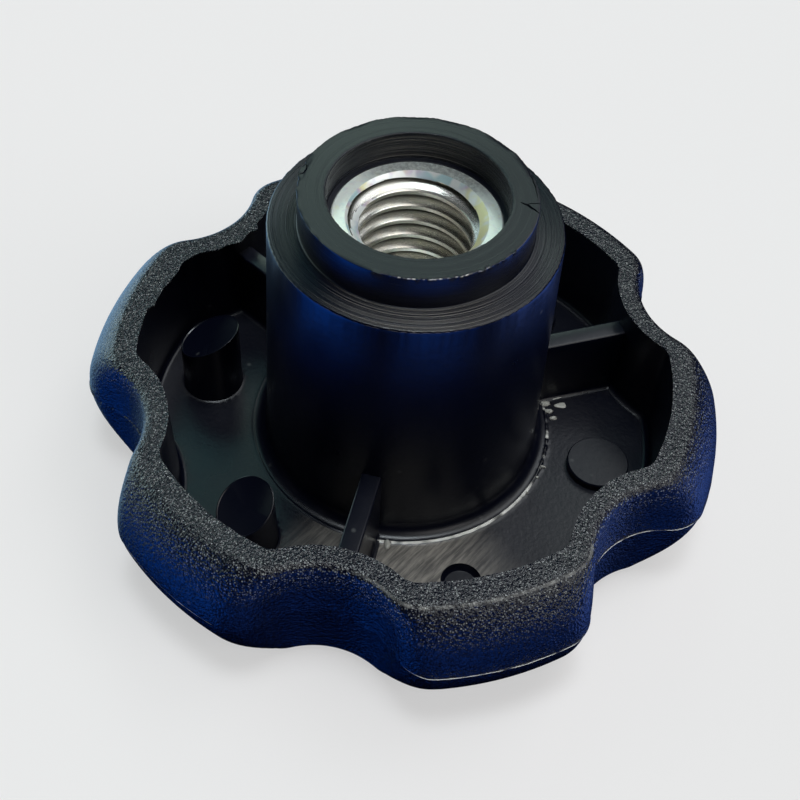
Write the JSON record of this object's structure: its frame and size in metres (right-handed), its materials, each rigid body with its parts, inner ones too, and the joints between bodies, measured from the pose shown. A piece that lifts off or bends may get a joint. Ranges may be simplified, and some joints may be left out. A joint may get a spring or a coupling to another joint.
{
  "type": "star knob",
  "caption": "Lobed hand knob with a hollow underside, a tall cylindrical hub and a sunk blind threaded steel bush for tightening a clamp by hand.",
  "frame": {"origin": "on the thread axis, in the plane of the flat cap face the knob lies on", "axes": "+Z along the thread axis out of the mouth of the bush; +X through the centre of a lobe"},
  "size_m": [0.0628, 0.0598, 0.0345],
  "materials": {
    "body": "black moulded plastic, spark-eroded grain outside, glossy hub and hollow",
    "bush": "turned steel, bright zinc plating with a faint yellow-green iridescence"
  },
  "bodies": {
    "root": {"knob_body": "body", "threaded_insert": "bush"}
  },
  "joints": []
}
